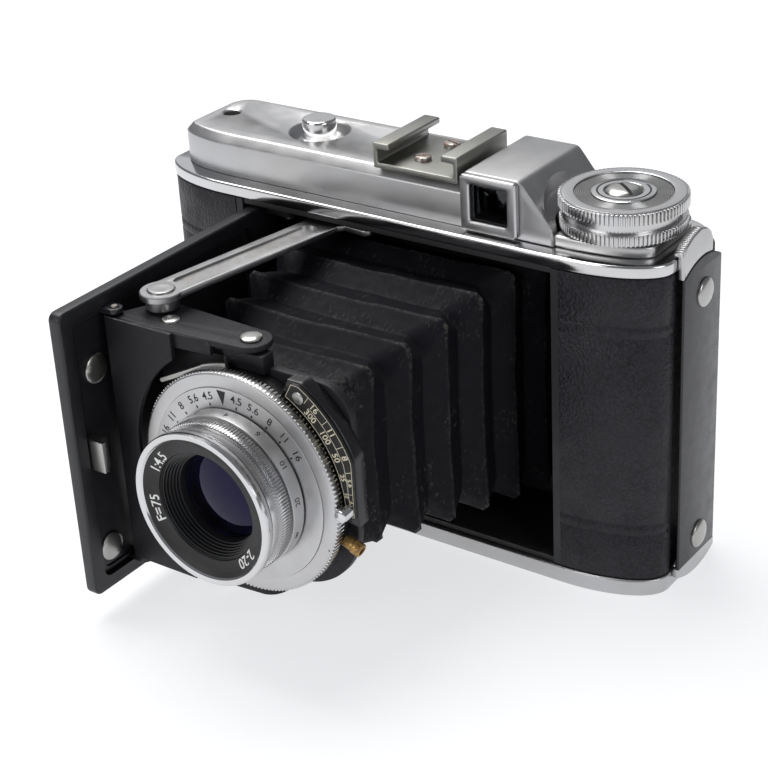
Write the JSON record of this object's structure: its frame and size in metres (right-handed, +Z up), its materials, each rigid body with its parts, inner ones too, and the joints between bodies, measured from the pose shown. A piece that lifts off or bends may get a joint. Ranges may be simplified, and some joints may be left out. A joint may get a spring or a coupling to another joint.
{
  "type": "folding camera",
  "caption": "Folding roll-film camera with a side-hinged bed, bellows, leaf-shutter lens, winding knob, finder and accessory shoe, stored open.",
  "frame": {"origin": "underside of the base plate, midway along the body and midway between its front and back faces; X = 0 is the lens axis", "axes": "+X to the right seen from the front, +Y from the lens to the back, +Z up"},
  "size_m": [0.1273, 0.0957, 0.0896],
  "materials": {
    "satin_chrome": "satin, lightly worn",
    "polished_chrome": "polished, fine scratches",
    "nickel": "nickel plated, tarnished",
    "plain_steel": "plain",
    "lens_rings": "turned and polished, fine scratches",
    "shutter_black": "semi-gloss black paint",
    "black_paint": "semi-gloss black",
    "black_crackle": "black crackle paint",
    "scale_black": "gloss black, cream engraving",
    "leatherette": "fine pebble grain",
    "bellows_cloth": "thin leather cloth, grey along the folds",
    "brass": "tarnished",
    "coated_glass": "coated, faint violet",
    "red_glass": "deep red",
    "painted_wood": "red painted"
  },
  "bodies": {
    "body": {"base_plate": "satin_chrome", "tripod_socket": "plain_steel", "body_casting": "black_paint", "top_trim": "polished_chrome", "top_housing": "satin_chrome", "viewfinder_bezel": "polished_chrome", "viewfinder_lens": "coated_glass", "viewfinder_eyepiece": "coated_glass", "accessory_shoe": "nickel", "shoe_screw_1": "plain_steel", "shoe_screw_2": "plain_steel", "right_leather": "leatherette", "left_leather": "leatherette", "door_hinge_pin_top": "plain_steel", "door_hinge_pin_bottom": "plain_steel", "back_hinge_pin": "plain_steel", "strut_pin_top": "nickel", "strut_pin_bottom": "nickel"},
    "door": {"door_plate": "black_paint", "door_leather": "leatherette", "yoke_hinge_pin": "plain_steel", "door_rivet_upper": "nickel", "door_rivet_lower": "nickel", "door_latch_hook": "plain_steel"},
    "strut_upper": {"strut_top": "polished_chrome"},
    "strut_lower": {"strut_bottom": "polished_chrome"},
    "yoke": {"yoke": "black_crackle"},
    "standard": {"lens_board": "black_crackle", "shutter_housing": "shutter_black", "depth_scale_plate": "satin_chrome", "speed_scale_plate": "scale_black", "sync_socket": "brass", "rear_cell": "shutter_black", "rear_lens": "coated_glass", "iris_blades": "plain_steel", "bellows": "bellows_cloth"},
    "speed_ring": {"speed_ring": "lens_rings"},
    "cocking_lever": {"cocking_lever": "nickel"},
    "aperture_lever": {"aperture_lever": "polished_chrome"},
    "focus_ring": {"focus_ring": "lens_rings"},
    "front_cell": {"front_cell": "lens_rings", "front_lens": "coated_glass"},
    "takeup_spool": {"takeup_spool": "painted_wood"},
    "supply_spool": {"supply_spool": "painted_wood"},
    "roller_left": {"film_roller_left": "nickel"},
    "roller_right": {"film_roller_right": "nickel"},
    "winding_knob": {"winding_knob": "polished_chrome", "knob_screw": "nickel"},
    "release_button": {"release_button": "polished_chrome"},
    "back": {"back_cover": "black_paint", "back_leather": "leatherette", "red_window": "red_glass"},
    "window_cover": {"window_cover": "polished_chrome"},
    "pressure_plate": {"pressure_plate": "black_paint"},
    "latch": {"latch_strap": "polished_chrome", "latch_plate": "black_paint", "latch_rivet_upper": "nickel", "latch_rivet_lower": "nickel"}
  },
  "joints": [
    {"name": "door_fold", "type": "hinge", "parent": "body", "child": "door", "pos_m": [-0.0285, -0.011, 0.038], "axis": [0, 0, 1], "range_deg": [0, 90], "deforming": ["bellows"]},
    {"name": "strut_upper_fold", "type": "hinge", "parent": "body", "child": "strut_upper", "pos_m": [-0.0162, -0.0105, 0.0693], "axis": [0, 0, 1], "range_deg": [0, 103]},
    {"name": "strut_lower_fold", "type": "hinge", "parent": "body", "child": "strut_lower", "pos_m": [-0.0162, -0.0105, 0.0067], "axis": [0, 0, 1], "range_deg": [0, 103]},
    {"name": "yoke_fold", "type": "hinge", "parent": "door", "child": "yoke", "pos_m": [-0.0315, -0.064, 0.038], "axis": [0, 0, 1], "range_deg": [0, 45]},
    {"name": "standard_level", "type": "hinge", "parent": "yoke", "child": "standard", "pos_m": [-0.0005, -0.0595, 0.038], "axis": [0, 0, 1], "range_deg": [-135.2, 0]},
    {"name": "speed_select", "type": "hinge", "parent": "standard", "child": "speed_ring", "pos_m": [0, -0.066, 0.038], "axis": [0, -1, 0], "range_deg": [-70, 0]},
    {"name": "shutter_cock", "type": "hinge", "parent": "standard", "child": "cocking_lever", "pos_m": [0, -0.0645, 0.038], "axis": [0, -1, 0], "range_deg": [-24, 0]},
    {"name": "aperture_set", "type": "hinge", "parent": "standard", "child": "aperture_lever", "pos_m": [0, -0.0662, 0.038], "axis": [0, -1, 0], "range_deg": [0, 36]},
    {"name": "focus_turn", "type": "hinge", "parent": "standard", "child": "focus_ring", "pos_m": [0, -0.073, 0.038], "axis": [0, -1, 0], "range_deg": [0, 255]},
    {"name": "front_cell_helix", "type": "slide", "parent": "focus_ring", "child": "front_cell", "axis": [0, -1, 0], "range_m": [0, 0.0018]},
    {"name": "winding_turn", "type": "hinge", "parent": "body", "child": "winding_knob", "pos_m": [0.0484, -0.0017, 0.08], "axis": [0, 0, 1], "continuous": true},
    {"name": "takeup_turn", "type": "hinge", "parent": "body", "child": "takeup_spool", "pos_m": [0.0484, -0.0017, 0.038], "axis": [0, 0, 1], "continuous": true},
    {"name": "supply_turn", "type": "hinge", "parent": "body", "child": "supply_spool", "pos_m": [-0.0484, -0.0017, 0.038], "axis": [0, 0, 1], "continuous": true},
    {"name": "roller_left_turn", "type": "hinge", "parent": "body", "child": "roller_left", "pos_m": [-0.0318, 0.0092, 0.038], "axis": [0, 0, 1], "continuous": true},
    {"name": "roller_right_turn", "type": "hinge", "parent": "body", "child": "roller_right", "pos_m": [0.0318, 0.0092, 0.038], "axis": [0, 0, 1], "continuous": true},
    {"name": "release_press", "type": "slide", "parent": "body", "child": "release_button", "axis": [0, 0, -1], "range_m": [0, 0.0018], "stiffness_N_per_m": 300, "springref_m": -0.0006},
    {"name": "back_open", "type": "hinge", "parent": "body", "child": "back", "pos_m": [-0.0601, 0.0074, 0.038], "axis": [0, 0, 1], "range_deg": [0, 115]},
    {"name": "latch_slide", "type": "slide", "parent": "back", "child": "latch", "axis": [0, 0, 1], "range_m": [0, 0.003]},
    {"name": "pressure_plate_spring", "type": "slide", "parent": "back", "child": "pressure_plate", "axis": [0, 1, 0], "range_m": [0, 0.0012], "stiffness_N_per_m": 150, "springref_m": -0.0006},
    {"name": "window_slide", "type": "slide", "parent": "back", "child": "window_cover", "axis": [1, 0, 0], "range_m": [0, 0.012]}
  ],
  "couplings": [
    {"joint": "yoke_fold", "follows": "door_fold", "ratio": 0.4977},
    {"joint": "standard_level", "follows": "door_fold", "ratio": -1.4977},
    {"joint": "strut_upper_fold", "follows": "door_fold", "ratio": 1.1367},
    {"joint": "strut_lower_fold", "follows": "door_fold", "ratio": 1.1367},
    {"joint": "front_cell_helix", "follows": "focus_turn", "m_per_rad": 0.0004},
    {"joint": "takeup_turn", "follows": "winding_turn", "ratio": 1}
  ]
}
